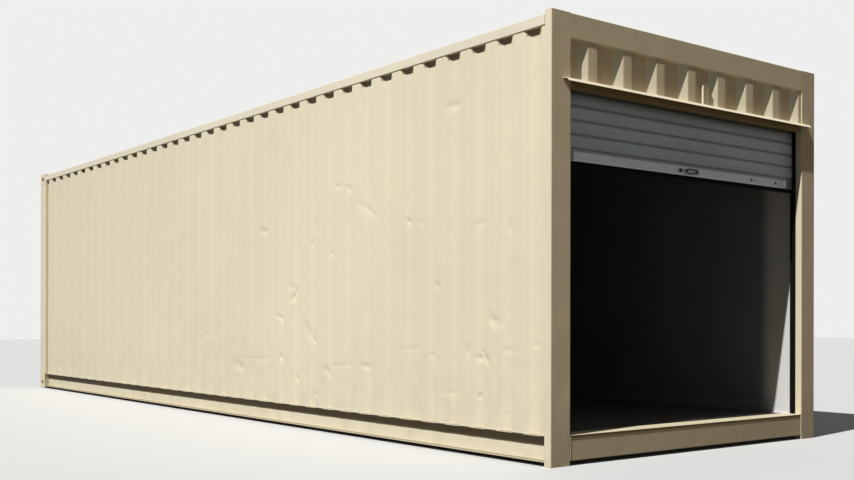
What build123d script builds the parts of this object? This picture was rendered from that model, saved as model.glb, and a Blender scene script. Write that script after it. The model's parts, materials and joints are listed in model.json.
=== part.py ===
from build123d import *
import math
import os

# A steel box container, 32 ft long, with a roller shutter in one end.
# Millimetres. +Z is up, +X is to the right seen from the shutter end, and +Y runs from
# the shutter end to the rear. The origin is on the ground, in the middle of the box round
# the whole container, which the rain ledge makes a little longer than the end frames.

# Overall sizes, over the end frames
length = 9754.0
width = 2438.0
height = 2591.0

# Front frame: two folded posts, a header flush with them and a sill set a little back
post_face = 150.0
post_depth = 60.0
post_wall = 5.0
post_corner = 8.0
foot_plate = 8.0
drain_hole = 30.0
header_height = 145.0
header_wall = 4.0
sill_setback = 2.5
sill_wall = 4.0
threshold_sheet = 4.0
threshold_overhang = 2.0
threshold_over_floor = 90.0

# Side rails
rail_foot = 26.0
rail_height = 150.0
rail_flange = 5.0
rail_web = 4.5
rail_recess = 50.0
rail_inner_edge = 56.0
top_rail = 60.0
top_rail_wall = 4.0
top_rail_drop = 22.0

# Pressed sheet of the long walls: troughs, pressed inwards, between flat crests
wall_sheet = 2.0
side_pitch = 266.9
side_first = 89.7
side_trough = 165.0
side_run = 46.0
side_depth = 25.0
side_recess = 5.0

# Pressed sheet of the ends, which is shallower and has gentler folds
end_pitch = 282.0
end_first = 72.0
end_trough = 212.0
end_run = 66.0
end_depth = 31.0
end_recess = 5.5

# Roof sheet with ribs pressed up across it
roof_sheet = 2.0
roof_inset = 6.0
roof_pitch = 209.0
roof_rib = 110.0
roof_rib_height = 18.0
roof_rib_slope = 35.0
roof_side_margin = 130.0
roof_end_margin = 70.0

# Rear frame with corner castings
casting_length = 178.0
casting_width = 162.0
casting_height = 118.0
casting_wall = 16.0
casting_plate = 28.5
casting_slot = (124.0, 63.5)
casting_side_hole = (79.5, 51.0)
casting_end_hole = (66.0, 51.0)
rear_post_face = 215.0
rear_post_wall = 6.0
rear_beam_depth = 60.0
rear_beam_wall = 4.0
rear_header_height = 126.0

# Floor, its cross beams, and the board lining of the walls
floor_board = 28.0
beam_flange = 45.0
beam_steel = 4.0
beam_spacing = 300.0
beam_end_gap = 110.0
lining_board = 15.0
lining_gap = 72.0
batten_width = 38.0
batten_troughs = 2
lining_clearance = 20.0
kick_height = 80.0
kick_foot = 20.0
kick_sheet = 3.0

# Band over the doorway: lintel, rain ledge and pressed panel
band_height = 236.0
lintel_height = 45.0
lintel_depth = 40.0
lintel_setback = 5.0
lintel_wall = 3.0
ledge_sheet = 3.0
ledge_reach = 48.0
ledge_drip = 20.0
ledge_back = 55.0
ledge_over_post = 64.0
ledge_tip = 12.0
bracket_width = 57.0
bracket_height = 132.0
bracket_setback = 7.0
bracket_rim = 3.0
bracket_sheet = 3.0
bracket_trough = 4
bracket_in_trough = 102.5

# Roller shutter, rolled up to leave the lower doorway open
shutter_setback = 75.0
shutter_drop = 403.0
shutter_sheet = 2.0
slat_pitch = 83.0
slat_groove = 18.0
slat_groove_run = 5.0
slat_groove_depth = 9.0
slat_groove_first = 5.0
guide_width = 60.0
guide_depth = 41.0
guide_sheet = 3.0
guide_top_gap = 60.0
curtain_in_guide = 45.0
bar_height = 60.0
bar_depth = 22.0
bar_proud = 4.0
bar_wall = 3.0
seal_height = 28.0
seal_thickness = 10.0
roll_radius = 138.0
roll_slats = 20
roll_turn_pitch = 13.0
roll_above_guide = 80.0
shaft_radius = 21.0
shaft_wall = 3.0
wheel_thickness = 12.0
wheel_inset = 150.0
plate_thickness = 6.0
plate_height = 190.0
fit_gap = 0.3
handle_width = 110.0
handle_height = 34.0
handle_reach = 18.0
handle_rod = 9.0
handle_corner = 14.0
handle_thickness = 8.0
handle_stub = 16.0
handle_offset = 10.0
lock_radius = 12.0
lock_reach = 14.0
lock_offset = -88.0
stop_width = 40.0
stop_height = 50.0
stop_reach = 24.0
stop_sheet = 4.0
stop_insets = {"left": 65.0, "right": 128.0}

# Planes and levels worked out from the sizes above
side = width / 2
front = (ledge_reach - length) / 2
rear = front + length
post_inner = side - post_face
post_back = front + post_depth
rail_top = rail_foot + rail_height
floor_top = rail_top - rail_flange
floor_under = floor_top - floor_board
roof_level = height - top_rail_drop
top_rail_under = roof_level - top_rail
header_under = height - header_height
ledge_top = header_under - band_height
lintel_top = ledge_top - ledge_sheet
lintel_under = lintel_top - lintel_height
threshold_top = floor_top + threshold_sheet
rear_inner = side - casting_width
casting_front = rear - casting_length
rear_post_front = rear - rear_post_face
rear_header_under = roof_level - rear_header_height
rear_beam_front = rear - rear_beam_depth
lining_outer = side_recess + side_depth + wall_sheet + lining_gap
lining_inner = lining_outer + lining_board
curtain_face = front + shutter_setback
bar_under = lintel_under - shutter_drop
bar_top = bar_under + bar_height
bar_face = curtain_face - bar_proud
curtain_edge = post_inner + curtain_in_guide
guide_top = lintel_under + guide_top_gap
roll_z = guide_top + roll_above_guide
roll_y = curtain_face + roll_radius
plate_outer = post_inner + guide_width
lining_front = post_back + guide_depth
lining_notch_under = roll_z - roll_radius - lining_clearance
lining_notch_back = roll_y + roll_radius + lining_clearance


def block(low, high):
    """A rectangular solid between its lowest and highest corners."""
    size = [b - a for a, b in zip(low, high)]
    middle = [(a + b) / 2 for a, b in zip(low, high)]
    return Pos(*middle) * Box(*size)


def tube(low, high, wall, axis):
    """A rectangular tube with open ends along axis 0, 1 or 2."""
    inner_low = [v if i == axis else v + wall for i, v in enumerate(low)]
    inner_high = [v if i == axis else v - wall for i, v in enumerate(high)]
    return block(low, high) - block(inner_low, inner_high)


def outline(points):
    """A flat face with straight sides."""
    return make_face(Polyline(*points, close=True))


def along_x(face, start, end):
    """A section drawn in (y, z), carried along X from start to end."""
    return Pos(start, 0, 0) * extrude(Plane.YZ * face, amount=end - start)


def along_y(face, start, end):
    """A section drawn in (x, z), carried along Y from start to end."""
    return Pos(0, start, 0) * extrude(Plane.XZ * face, amount=start - end)


def along_z(face, start, end):
    """A section drawn in (x, y), carried up from start to end."""
    return Pos(0, 0, start) * extrude(face, amount=end - start)


def other_side(piece):
    """The same piece on the other side of the container."""
    return mirror(piece, about=Plane.YZ)


def upside_down(piece):
    """The same piece at the top of the container."""
    return mirror(piece, about=Plane.XY.offset(height / 2))


def folded(line, sheet):
    """Section of a folded sheet: one surface follows the line, the other lies to its left.

    Each fold is mitred, so that the sheet keeps its thickness. A negative sheet lies to the right.
    """
    normals = []
    for (x0, y0), (x1, y1) in zip(line, line[1:]):
        run = math.hypot(x1 - x0, y1 - y0)
        normals.append(((y0 - y1) / run, (x1 - x0) / run))
    other = []
    for point, before, after in zip(line, normals[:1] + normals, normals + normals[-1:]):
        reach = sheet / (1 + before[0] * after[0] + before[1] * after[1])
        other.append((point[0] + reach * (before[0] + after[0]), point[1] + reach * (before[1] + after[1])))
    return outline(line + other[::-1])


def pressed_line(first, pitch, end, trough, run, depth):
    """Line of a pressed sheet: crests at 0, and troughs pressed to depth until the end is passed."""
    count = math.ceil((end - first) / pitch)
    line = [(first - pitch, 0)]
    for number in range(count):
        start = first + number * pitch
        stop = start + trough
        line += [(start, 0), (start + run, depth), (stop - run, depth), (stop, 0)]
    return line + [(first + count * pitch, 0)]


# Front frame

def front_post():
    low = (-side, front, 0)
    high = (-post_inner, post_back, height)
    shell = block(low, high)
    shell = fillet(shell.edges().filter_by(Axis.Z), post_corner)
    hollow = block(
        (-side + post_wall, front + post_wall, foot_plate),
        (-post_inner - post_wall, post_back - post_wall, height - foot_plate),
    )
    hollow = fillet(hollow.edges().filter_by(Axis.Z), post_corner - post_wall)
    drain = Pos(-side + post_face / 2, front + post_depth / 2, foot_plate / 2)
    return shell - hollow - drain * Cylinder(drain_hole / 2, foot_plate)


def front_header():
    low = (-post_inner, front, header_under)
    high = (post_inner, post_back, height)
    return tube(low, high, header_wall, 0)


def front_sill():
    low = (-post_inner, front + sill_setback, rail_foot)
    high = (post_inner, post_back, floor_top)
    return tube(low, high, sill_wall, 0)


def threshold_plate():
    """Plate over the sill and the floor's edge, which it overhangs a little in front."""
    low = (-post_inner, front + sill_setback - threshold_overhang, floor_top)
    high = (post_inner, post_back + threshold_over_floor, threshold_top)
    return block(low, high)


# Band over the doorway

def door_lintel():
    low = (-post_inner, front + lintel_setback, lintel_under)
    high = (post_inner, front + lintel_setback + lintel_depth, lintel_top)
    return tube(low, high, lintel_wall, 0)


def rain_ledge():
    """Folded ledge: flat on the lintel, then a drip edge at 45 degrees in front.

    Outside the frame it laps over both posts, and its ends narrow to points.
    """
    outer = front - ledge_reach
    line = [
        (front + ledge_back, ledge_top),
        (outer + ledge_drip, ledge_top),
        (outer, ledge_top - ledge_drip),
    ]
    reach = post_inner + ledge_over_post
    plan = outline([
        (-post_inner, front + ledge_back),
        (-post_inner, front),
        (-reach, front),
        (-reach + ledge_tip, outer),
        (reach - ledge_tip, outer),
        (reach, front),
        (post_inner, front),
        (post_inner, front + ledge_back),
    ])
    depth = 2 * (ledge_drip + ledge_sheet)
    return along_x(folded(line, ledge_sheet), -reach, reach) & along_z(plan, ledge_top - depth, ledge_top)


def header_panel():
    line = pressed_line(end_first, end_pitch, width, end_trough, end_run, end_depth)
    line = [(-side + x, front + end_recess + y) for x, y in line]
    sheet = along_z(folded(line, wall_sheet), ledge_top, header_under)
    return sheet & block((-post_inner, front, ledge_top), (post_inner, post_back, header_under))


def header_bracket():
    """Closed box on the ledge, against one trough of the panel, with a rim round its front."""
    middle = -side + end_first + bracket_trough * end_pitch + bracket_in_trough
    left = middle - bracket_width / 2
    right = middle + bracket_width / 2
    face = front + bracket_setback
    back = front + end_recess + end_depth
    top = ledge_top + bracket_height
    plate = face + bracket_rim
    shell = block((left, face, ledge_top), (right, back, top))
    inner_low = (left + bracket_sheet, ledge_top + bracket_sheet)
    inner_high = (right - bracket_sheet, top - bracket_sheet)
    for start, stop in ((face, plate), (plate + bracket_sheet, back)):
        shell -= block((inner_low[0], start, inner_low[1]), (inner_high[0], stop, inner_high[1]))
    return shell


# Rear frame

def corner_casting():
    """Bottom left casting: a hollow block with a slot below and a hole in each outer side."""
    low = (-side, casting_front, 0)
    high = (-rear_inner, rear, casting_height)
    hollow = block(
        (low[0] + casting_wall, low[1] + casting_wall, casting_plate),
        (high[0] - casting_wall, high[1] - casting_wall, casting_height - casting_wall),
    )
    middle_x = (low[0] + high[0]) / 2
    middle_y = (low[1] + high[1]) / 2
    hole_z = (casting_plate + casting_height - casting_wall) / 2
    slot = Pos(middle_x, middle_y, 0) * extrude(Rot(0, 0, 90) * SlotOverall(*casting_slot), casting_plate)
    side_slot = Plane.YZ * SlotOverall(*casting_side_hole)
    side_hole = Pos(low[0], middle_y, hole_z) * extrude(side_slot, casting_wall)
    end_hole = Pos(middle_x, rear, hole_z) * extrude(Plane.XZ * SlotOverall(*casting_end_hole), casting_wall)
    return block(low, high) - hollow - slot - side_hole - end_hole


def rear_post():
    """Folded post between the castings, with a wider strip that meets the wall and both rails."""
    wall = rear_post_wall
    post_top = height - casting_height
    column = block((-side, casting_front, casting_height), (-rear_inner, rear, post_top))
    strip = block((-side, rear_post_front, rail_top), (-rear_inner, casting_front, top_rail_under))
    bore = block(
        (-side + wall, casting_front + wall, casting_height),
        (-rear_inner - wall, rear - wall, post_top),
    )
    strip_bore = block(
        (-side + wall, rear_post_front + wall, rail_top + wall),
        (-rear_inner - wall, casting_front + wall, post_top - wall),
    )
    return column + strip - bore - strip_bore


def rear_header():
    low = (-rear_inner, rear_beam_front, rear_header_under)
    high = (rear_inner, rear, roof_level)
    return tube(low, high, rear_beam_wall, 0)


def rear_sill():
    low = (-rear_inner, rear_beam_front, rail_foot)
    high = (rear_inner, rear, rail_top)
    return tube(low, high, rear_beam_wall, 0)


def rear_wall():
    """Blank end wall, with a crest of the pressed sheet in its middle."""
    crest = end_pitch - end_trough
    first = crest / 2 - end_pitch * math.ceil(rear_inner / end_pitch)
    line = pressed_line(first, end_pitch, rear_inner, end_trough, end_run, end_depth)
    line = [(x, rear - side_recess - y) for x, y in line]
    sheet = along_z(folded(line, -wall_sheet), rail_top, rear_header_under)
    return sheet & block((-rear_inner, rear_beam_front, rail_top), (rear_inner, rear, rear_header_under))


# Long sides

def bottom_rail():
    """Rail with its web set back, a flange below that faces out, and one above that faces both ways."""
    web_face = -side + rail_recess
    web_back = web_face + rail_web
    section = outline([
        (-side, rail_foot),
        (web_back, rail_foot),
        (web_back, floor_top),
        (-side + rail_inner_edge, floor_top),
        (-side + rail_inner_edge, rail_top),
        (-side + side_recess, rail_top),
        (-side + side_recess, floor_top),
        (web_face, floor_top),
        (web_face, rail_foot + rail_flange),
        (-side, rail_foot + rail_flange),
    ])
    return along_y(section, post_back, casting_front)


def top_side_rail():
    low = (-side, post_back, top_rail_under)
    high = (-side + top_rail, casting_front, roof_level)
    return tube(low, high, top_rail_wall, 1)


def side_wall():
    end = rear_post_front - front
    line = pressed_line(side_first, side_pitch, end, side_trough, side_run, side_depth)
    line = [(-side + side_recess + y, front + x) for x, y in line]
    sheet = along_z(folded(line, -wall_sheet), rail_top, top_rail_under)
    low = (-side, post_back, rail_top)
    return sheet & block(low, (-side + lining_outer, rear_post_front, top_rail_under))


def roof():
    """Sheet over the rails, with ribs pressed up between its flat margins."""
    edge = side - roof_inset
    rear_edge = rear - roof_inset
    sheet = block((-edge, post_back, roof_level), (edge, rear_edge, roof_level + roof_sheet))
    for turn in (-1, 1):
        corner = (turn * (rear_inner + edge) / 2, (casting_front + rear) / 2, roof_level + roof_sheet / 2)
        sheet -= Pos(*corner) * Box(edge - rear_inner, casting_length, roof_sheet)
    first = post_back + roof_end_margin
    room = casting_front - roof_end_margin - roof_rib - first
    count = math.floor(room / roof_pitch) + 1
    start = first + (room - (count - 1) * roof_pitch) / 2 + roof_rib / 2
    rib_length = width - 2 * roof_side_margin
    rib = extrude(Rectangle(rib_length, roof_rib), roof_rib_height, taper=roof_rib_slope)
    places = [Pos(0, start + number * roof_pitch, roof_level) for number in range(count)]
    raised = [place * Pos(0, 0, roof_sheet) * rib for place in places]
    pressed = [place * rib for place in places]
    return sheet + raised - pressed


# Floor and lining

def floor():
    edge = side - rail_recess - rail_web
    board = block((-edge, post_back, floor_under), (edge, rear_beam_front, floor_top))
    for turn in (-1, 1):
        corner = (turn * (rear_inner + edge) / 2, (casting_front + rear_beam_front) / 2)
        notch = Box(edge - rear_inner, rear_beam_front - casting_front, floor_board)
        board -= Pos(*corner, floor_under + floor_board / 2) * notch
    return board


def floor_beams():
    """Channel beams across the container, hung between the webs of the bottom rails."""
    end = side - rail_recess - rail_web
    line = [(beam_flange, floor_under), (0, floor_under), (0, rail_foot), (beam_flange, rail_foot)]
    first = post_back + beam_end_gap
    last = casting_front - beam_end_gap - beam_flange
    count = round((last - first) / beam_spacing) + 1
    step = (last - first) / (count - 1)
    beam = along_x(folded(line, beam_steel), -end, end)
    return Compound(children=[Pos(0, first + number * step, 0) * beam for number in range(count)])


def side_lining():
    """Boards on upright battens, which stand against the troughs of the wall.

    The front corner at the top is left out round the roll of the shutter.
    """
    low = (-side + lining_outer, lining_front, floor_top)
    high = (-side + lining_inner, rear_post_front, top_rail_under)
    lining = block(low, high)
    wall_back = -side + lining_outer - lining_gap
    middle = front + side_first + side_trough / 2
    while middle + batten_width / 2 < rear_post_front:
        start = (wall_back, middle - batten_width / 2, rail_top)
        lining += block(start, (low[0], middle + batten_width / 2, top_rail_under))
        middle += batten_troughs * side_pitch
    notch_low = (wall_back, lining_front, lining_notch_under)
    return lining - block(notch_low, (high[0], lining_notch_back, top_rail_under))


def rear_lining():
    back = rear - side_recess - end_depth - wall_sheet
    low = (-rear_inner, back - lining_board, rail_top)
    high = (rear_inner, back, rear_header_under)
    return block(low, high)


def kick_strip():
    """Angle along the foot of the lining."""
    face = -side + lining_inner
    line = [(face + kick_foot, floor_top), (face, floor_top), (face, floor_top + kick_height)]
    return along_y(folded(line, -kick_sheet), lining_front, rear_post_front)


# Roller shutter

def door_guide():
    """Channel behind the post, open towards the doorway, in which the curtain's edge runs."""
    line = [
        (-post_inner, post_back),
        (-post_inner - guide_width, post_back),
        (-post_inner - guide_width, post_back + guide_depth),
        (-post_inner, post_back + guide_depth),
    ]
    return along_z(folded(line, -guide_sheet), threshold_top, guide_top)


def door_curtain():
    """Hanging part of the shutter: flat slats between grooves, up to the front of the roll."""
    rise = roll_z - shutter_sheet - bar_top
    grooved = rise - slat_pitch / 2 - slat_groove
    line = pressed_line(
        slat_groove_first, slat_pitch, grooved, slat_groove, slat_groove_run, slat_groove_depth
    )
    line = [(0, 0)] + line[1:-1] + [(rise, 0)]
    line = [(curtain_face + y, bar_top + x) for x, y in line]
    return along_x(folded(line, -shutter_sheet), -curtain_edge, curtain_edge)


def rolled_up():
    """Angles and radii of the rolled-up slats and grooves, from the hanging part inwards."""
    steps = (
        (slat_pitch - slat_groove, 0),
        (slat_groove_run, slat_groove_depth),
        (slat_groove - 2 * slat_groove_run, slat_groove_depth),
        (slat_groove_run, 0),
    )
    angle = 0
    radius = roll_radius
    polar = [(angle, radius)]
    for run, depth in steps * roll_slats:
        angle += run / radius
        radius = roll_radius - roll_turn_pitch * angle / (2 * math.pi)
        polar.append((angle, radius - depth))
    return polar


def door_roll():
    line = [(curtain_face, roll_z - shutter_sheet)]
    for angle, radius in rolled_up():
        line.append((roll_y - radius * math.cos(angle), roll_z + radius * math.sin(angle)))
    return along_x(folded(line, -shutter_sheet), -curtain_edge, curtain_edge)


def door_shaft():
    """Tube with the wheels that the curtain is rolled on."""
    axis = Pos(roll_y, roll_z)
    shaft = axis * (Circle(shaft_radius) - Circle(shaft_radius - shaft_wall))
    wheel_radius = rolled_up()[-2][1] - shutter_sheet - fit_gap
    wheel = axis * (Circle(wheel_radius) - Circle(shaft_radius))
    result = along_x(shaft, -plate_outer, plate_outer)
    end_wheel = curtain_edge - wheel_inset
    for place in (-end_wheel, 0, end_wheel):
        result += along_x(wheel, place - wheel_thickness / 2, place + wheel_thickness / 2)
    return result


def shaft_plate():
    """Plate on the back of the post and the top of the guide, which carries one end of the shaft."""
    tip = shaft_radius * 2
    section = outline([
        (post_back, guide_top),
        (post_back + guide_depth, guide_top),
        (roll_y + tip, roll_z - tip),
        (roll_y + tip, roll_z + tip),
        (post_back, guide_top + plate_height),
    ])
    section = section - Pos(roll_y, roll_z) * Circle(shaft_radius + fit_gap)
    return along_x(section, -plate_outer, -plate_outer + plate_thickness)


def door_bottom_bar():
    low = (-curtain_edge, bar_face, bar_under)
    high = (curtain_edge, bar_face + bar_depth, bar_top)
    return tube(low, high, bar_wall, 0)


def door_seal():
    """Rubber strip under the bottom bar."""
    middle = bar_face + bar_depth / 2
    low = (-post_inner, middle - seal_thickness / 2, bar_under - seal_height)
    high = (post_inner, middle + seal_thickness / 2, bar_under)
    return block(low, high)


def door_stop(inset):
    """Angle near the end of the bottom bar that stops the shutter at the lintel."""
    inner = -post_inner + inset
    middle = bar_under + bar_height / 2
    line = [(inner - stop_width, bar_face), (inner, bar_face), (inner, bar_face - stop_reach)]
    return along_z(folded(line, -stop_sheet), middle - stop_height / 2, middle + stop_height / 2)


def door_handle():
    """Pull handle on the bottom bar: a flat loop on two stubs."""
    middle = bar_under + bar_height / 2
    back = bar_face - handle_reach + handle_thickness
    ring = RectangleRounded(handle_width, handle_height, handle_corner) - RectangleRounded(
        handle_width - 2 * handle_rod, handle_height - 2 * handle_rod, handle_corner - handle_rod
    )
    result = Pos(handle_offset, back, middle) * extrude(Plane.XZ * ring, handle_thickness)
    for turn in (-1, 1):
        outer = handle_offset + turn * handle_width / 2
        ends = sorted((outer, outer - turn * handle_rod))
        low = (ends[0], back, middle - handle_stub / 2)
        result += block(low, (ends[1], bar_face, middle + handle_stub / 2))
    return result


def door_lock():
    """Lock cylinder beside the handle."""
    barrel = extrude(Plane.XZ * Circle(lock_radius), lock_reach)
    return Pos(lock_offset, bar_face, bar_under + bar_height / 2) * barrel


left_casting = corner_casting()
left_top_casting = upside_down(left_casting)
pairs = {
    "front_{}_post": front_post(),
    "rear_{}_post": rear_post(),
    "rear_bottom_{}_casting": left_casting,
    "rear_top_{}_casting": left_top_casting,
    "{}_top_rail": top_side_rail(),
    "{}_bottom_rail": bottom_rail(),
    "{}_wall": side_wall(),
    "{}_lining": side_lining(),
    "{}_kick_strip": kick_strip(),
    "{}_door_guide": door_guide(),
    "{}_shaft_plate": shaft_plate(),
}
nodes = {
    "front_header": front_header(),
    "front_sill": front_sill(),
    "threshold_plate": threshold_plate(),
    "door_lintel": door_lintel(),
    "rain_ledge": rain_ledge(),
    "header_panel": header_panel(),
    "header_bracket": header_bracket(),
    "rear_header": rear_header(),
    "rear_sill": rear_sill(),
    "rear_wall": rear_wall(),
    "rear_lining": rear_lining(),
    "roof": roof(),
    "floor": floor(),
    "floor_beams": floor_beams(),
    "door_curtain": door_curtain(),
    "door_roll": door_roll(),
    "door_shaft": door_shaft(),
    "door_bottom_bar": door_bottom_bar(),
    "door_seal": door_seal(),
    "door_handle": door_handle(),
    "door_lock": door_lock(),
}
for name, piece in pairs.items():
    nodes[name.format("left")] = piece
    nodes[name.format("right")] = other_side(piece)
nodes["left_door_stop"] = door_stop(stop_insets["left"])
nodes["right_door_stop"] = other_side(door_stop(stop_insets["right"]))

os.makedirs("parts", exist_ok=True)
for name, piece in nodes.items():
    export_step(piece, f"parts/{name}.step")
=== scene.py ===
import json
import math

import bmesh
import bpy
from mathutils import Matrix, Vector, noise


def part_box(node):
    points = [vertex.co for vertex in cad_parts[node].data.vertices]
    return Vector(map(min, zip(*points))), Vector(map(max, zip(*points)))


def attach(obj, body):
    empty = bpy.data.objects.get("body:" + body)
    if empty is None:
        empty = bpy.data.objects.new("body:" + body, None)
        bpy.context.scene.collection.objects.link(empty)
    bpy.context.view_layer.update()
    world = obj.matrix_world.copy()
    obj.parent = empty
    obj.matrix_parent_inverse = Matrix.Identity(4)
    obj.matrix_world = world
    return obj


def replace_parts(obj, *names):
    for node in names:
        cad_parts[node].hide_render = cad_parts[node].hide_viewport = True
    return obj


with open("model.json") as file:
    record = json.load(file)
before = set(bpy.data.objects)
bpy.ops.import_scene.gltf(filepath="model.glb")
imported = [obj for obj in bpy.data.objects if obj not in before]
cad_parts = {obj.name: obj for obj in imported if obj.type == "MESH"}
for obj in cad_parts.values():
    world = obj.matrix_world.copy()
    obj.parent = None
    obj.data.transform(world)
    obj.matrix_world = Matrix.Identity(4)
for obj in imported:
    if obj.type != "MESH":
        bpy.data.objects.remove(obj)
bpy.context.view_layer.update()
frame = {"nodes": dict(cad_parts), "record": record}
nodes = frame["nodes"]

# Pressed sheet of the long walls and of the ends, in metres: where the first trough starts,
# the distance to the next, the trough's width at its mouth, the run of its sides and its depth
side_press = {"first": 0.0897, "pitch": 0.2669, "trough": 0.165, "run": 0.046, "depth": 0.025}
end_press = {"first": 0.072, "pitch": 0.282, "trough": 0.212, "run": 0.066, "depth": 0.031}
sheet = 0.002
side_fold_radius = 0.030
end_fold_radius = 0.016

# Shutter sheet: slats with a slight crown, and a groove between them
slat_pitch = 0.083
slat_groove = {"width": 0.018, "run": 0.005, "depth": 0.009}
slat_crown = 0.002
slat_groove_first = 0.005
slat_fold_radius = 0.004

# Black strip at the edge of the shutter: its reach into the doorway from the post's side, its length
# forward on that side and back behind the post, its thickness, and the gap to the back of the post
seal_reach = 0.016
seal_on_jamb = 0.010
seal_behind = 0.008
seal_thickness = 0.003
seal_gap = 0.001

# Pull handle: its round rod, the corners of its loop and the feet of its stubs
handle_rod = 0.0042
handle_corner = 0.010
handle_foot = 0.0070

# Bolts of the bottom bar
bolt_places = (0.609, 0.867)
bolt_radius = 0.009
bolt_sunk = 0.0005

# Steel of the box sections, and the radius of their corners
section_wall = 0.004
front_header_corner = 0.005
rear_header_corner = 0.007
sill_corner = 0.006
post_corner = 0.008
weld_overlap = 0.0005

# Widths of the soft edges on solids, on the front posts and on thin sheet
soft_edge = 0.0025
post_edge = 0.0045
sheet_edge = 0.0006
thin_nodes = ("roof", "door_roll", "rain_ledge")

# Distances between the points of the end sheets, across and up, of the curtain and of its seal
end_step_across = 0.03
end_step_up = 0.04
curtain_step = 0.3
seal_step = 0.05

# The long wall is welded up from panels four troughs wide. The steps are the distance between the points
# of its surface: along both walls and up the dented one, and up the plain one.
troughs_per_panel = 4
fine_step = 0.012
plain_step = 0.15
wall_buckle = 0.0013

# Dents level off at the deepest one. The dented sheet is thicker behind, where this can't be seen,
# so that no dent comes through its back. Then come the roughness of their outlines, how far from a dent's
# start and how far beyond a panel's ends dents are looked for, how far beyond a dent the battens of the
# lining are cut back, and the height over which the sheet is calm at its foot and top.
deepest_dent = 0.0085
dented_thickness = 0.0115
dent_roughness = 0.35
dent_reach = 0.6
panel_margin = 0.3
batten_margin = 0.1
calm_edge = 0.08

# Dents and creases of the left wall: from (y, z) to (y, z), half width and depth, in metres
left_dents = [
    ((-2.40, 1.80), (-2.46, 1.80), 0.028, 0.0043),
    ((-2.52, 1.79), (-2.57, 1.76), 0.028, 0.0043),
    ((-2.70, 1.66), (-2.96, 1.55), 0.037, 0.0025),
    ((-2.84, 1.60), (-2.88, 1.57), 0.023, 0.0043),
    ((-3.32, 1.66), (-3.32, 1.57), 0.023, 0.0037),
    ((-3.31, 1.50), (-3.36, 1.48), 0.025, 0.0050),
    ((-3.50, 1.47), (-3.53, 1.47), 0.025, 0.0031),
    ((-3.80, 2.18), (-3.94, 2.19), 0.037, 0.0037),
    ((-1.14, 1.56), (-1.23, 1.54), 0.033, 0.0056),
    ((-2.06, 1.46), (-1.98, 1.39), 0.026, 0.0062),
    ((-2.04, 1.54), (-2.04, 1.48), 0.025, 0.0031),
    ((-2.27, 1.33), (-2.31, 1.31), 0.025, 0.0043),
    ((-0.98, 1.45), (-0.98, 1.33), 0.025, 0.0037),
    ((-1.68, 0.98), (-1.77, 1.09), 0.025, 0.0074),
    ((-1.64, 1.10), (-1.71, 1.08), 0.031, 0.0031),
    ((-1.43, 0.86), (-1.50, 0.84), 0.023, 0.0050),
    ((-1.50, 0.84), (-1.57, 0.75), 0.023, 0.0062),
    ((-0.70, 1.03), (-0.68, 0.94), 0.030, 0.0056),
    ((0.36, 0.68), (0.32, 0.66), 0.025, 0.0050),
    ((0.05, 0.68), (0.02, 0.66), 0.025, 0.0043),
    ((-0.06, 0.70), (-0.09, 0.69), 0.025, 0.0037),
    ((-0.46, 0.84), (-0.48, 0.82), 0.021, 0.0043),
    ((-1.92, 0.80), (-1.98, 0.70), 0.037, 0.0050),
    ((-2.02, 0.68), (-2.08, 0.65), 0.025, 0.0068),
    ((-0.66, 0.51), (-1.46, 0.52), 0.016, 0.0022),
    ((-1.46, 0.55), (-1.53, 0.50), 0.025, 0.0068),
    ((-0.60, 0.46), (-0.85, 0.43), 0.060, 0.0060),
    ((-1.74, 0.38), (-1.83, 0.36), 0.030, 0.0056),
    ((-0.19, 0.45), (-0.21, 0.44), 0.021, 0.0043),
    ((-0.20, 0.27), (-0.21, 0.25), 0.021, 0.0050),
    ((-2.03, 0.27), (-2.10, 0.27), 0.023, 0.0056),
    ((-2.28, 0.49), (-2.62, 0.51), 0.017, 0.0024),
    ((-2.21, 0.48), (-2.27, 0.42), 0.031, 0.0062),
    ((-2.75, 0.51), (-2.84, 0.50), 0.031, 0.0050),
    ((-2.85, 0.45), (-2.86, 0.34), 0.030, 0.0062),
    ((-3.26, 0.63), (-3.50, 0.65), 0.020, 0.0022),
    ((-3.60, 0.61), (-3.64, 0.60), 0.021, 0.0043),
    ((-4.17, 0.64), (-4.26, 0.58), 0.030, 0.0074),
    ((-4.06, 0.68), (-4.04, 0.61), 0.025, 0.0050),
    ((-4.10, 0.60), (-4.20, 0.60), 0.023, 0.0050),
    ((-4.37, 0.65), (-4.52, 0.66), 0.018, 0.0026),
    ((-4.66, 0.68), (-4.73, 0.69), 0.018, 0.0026),
    ((-4.28, 0.85), (-4.34, 0.81), 0.049, 0.0062),
    ((-3.66, 1.06), (-3.73, 1.05), 0.025, 0.0043),
    ((-3.76, 0.37), (-3.92, 0.37), 0.016, 0.0024),
    ((-4.12, 0.36), (-4.16, 0.37), 0.023, 0.0062),
    ((-4.40, 0.27), (-4.43, 0.27), 0.021, 0.0031),
    ((-4.74, 0.30), (-4.76, 0.30), 0.019, 0.0060),
    ((-4.43, 1.40), (-4.48, 1.36), 0.045, 0.0037),
    ((-4.10, 1.42), (-4.24, 1.43), 0.026, 0.0025),
    ((-4.53, 1.20), (-4.53, 1.06), 0.026, 0.0025),
    ((0.92, 1.20), (0.90, 1.18), 0.031, 0.0050),
    ((3.43, 0.87), (3.17, 0.46), 0.030, 0.0050),
    ((4.38, 2.36), (4.37, 2.31), 0.030, 0.0060),
]

# Camera
camera_place = (-5.149, -9.586, 0.833)
camera_heading = 42.29
camera_roll = 0.111
camera_lens = 46.07
camera_shift = (-0.2026, 0.0940)

# Light: the way the key light travels, and how strong it and the fill are
key_travel = (0.735, 0.155, -1.0)
key_strength = 4.45
key_angle = 0.6
fill_strength = 0.06
fill_colour = (0.93, 0.965, 1.0)
backdrop = (0.86, 0.86, 0.85)
floor_seen = (0.60, 0.60, 0.59)
floor_bounce = (0.070, 0.059, 0.043)
floor_size = 80.0

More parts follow.
